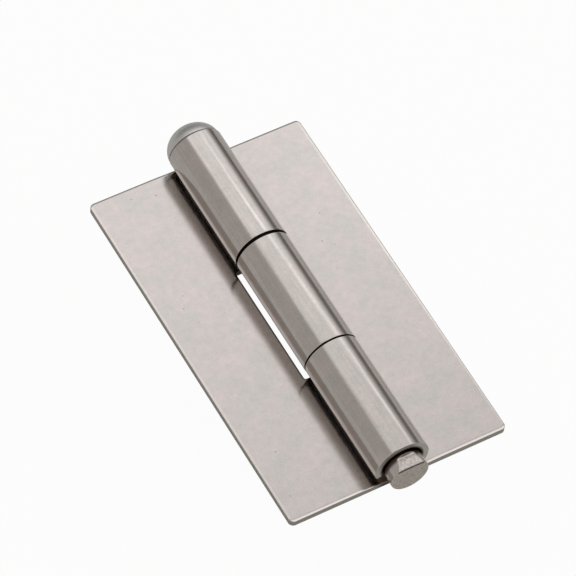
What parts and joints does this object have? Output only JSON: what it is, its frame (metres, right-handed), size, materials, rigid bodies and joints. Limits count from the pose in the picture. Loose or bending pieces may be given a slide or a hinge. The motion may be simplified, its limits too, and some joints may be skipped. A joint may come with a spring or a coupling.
{
  "type": "lift off hinge",
  "caption": "Lift off butt hinge in stainless sheet: plain leaves with rolled knuckles turning on a loose pin with a domed head, which lifts out so that the leaves come apart.",
  "frame": {"origin": "on the plane of the leaves' backs, straight under the middle of the barrel, halfway along the leaves", "axes": "+X towards the leaf with the single knuckle, +Y along the barrel towards the pin's domed head, +Z out of the leaves' fronts, towards the barrel"},
  "size_m": [0.058, 0.11, 0.0142],
  "materials": {
    "leaf_steel": "smooth mill finish stainless sheet, lightly polished round the barrel",
    "pin_steel": "satin turned stainless bar"
  },
  "bodies": {
    "two_knuckle_leaf": {"two_knuckle_leaf": "leaf_steel"},
    "one_knuckle_leaf": {"one_knuckle_leaf": "leaf_steel"},
    "hinge_pin": {"hinge_pin": "pin_steel"}
  },
  "joints": [
    {"name": "leaf_swing", "type": "hinge", "parent": "two_knuckle_leaf", "child": "one_knuckle_leaf", "pos_m": [0, 0, 0.0071], "axis": [0, -1, 0], "range_deg": [-86, 199]},
    {"name": "pin_lift", "type": "slide", "parent": "two_knuckle_leaf", "child": "hinge_pin", "axis": [0, 1, 0], "range_m": [0, 0.11]}
  ]
}
